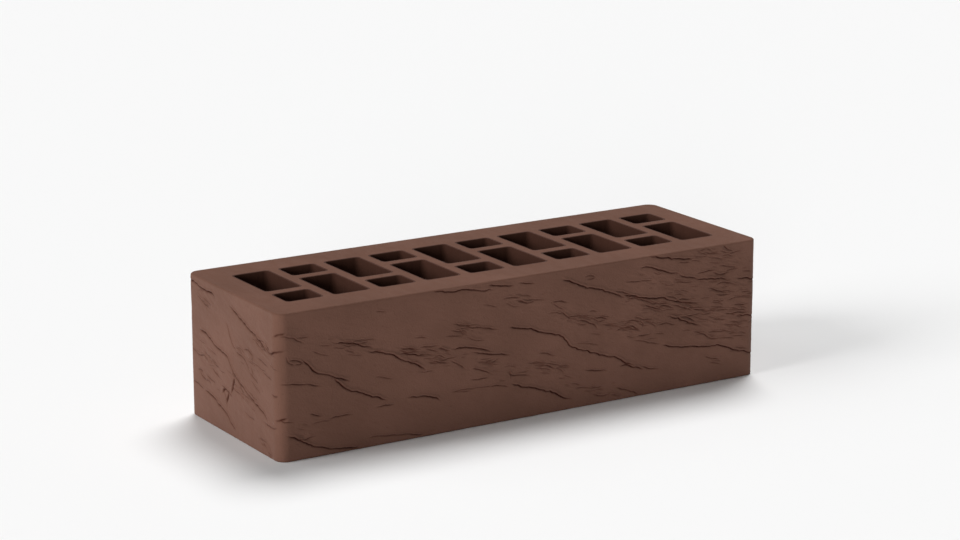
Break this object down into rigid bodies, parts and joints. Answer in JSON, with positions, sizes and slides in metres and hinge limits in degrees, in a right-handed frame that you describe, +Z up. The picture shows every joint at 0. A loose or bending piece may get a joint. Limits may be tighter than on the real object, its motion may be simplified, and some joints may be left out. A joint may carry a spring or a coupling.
{
  "type": "clay brick",
  "caption": "Perforated clay facing brick with bark-textured brown faces, rounded upright corners and rectangular through-holes from bed to bed, laid in mortar to build facing walls.",
  "frame": {"origin": "middle of the bottom bed, on the surface that the brick lies on", "axes": "+X along the brick's length, +Y from the exposed long face to the back, +Z up through the holes from bed to bed"},
  "size_m": [0.25, 0.085, 0.065],
  "materials": {
    "fired_clay": "matte"
  },
  "bodies": {
    "root": {"facing_brick": "fired_clay"}
  },
  "joints": []
}
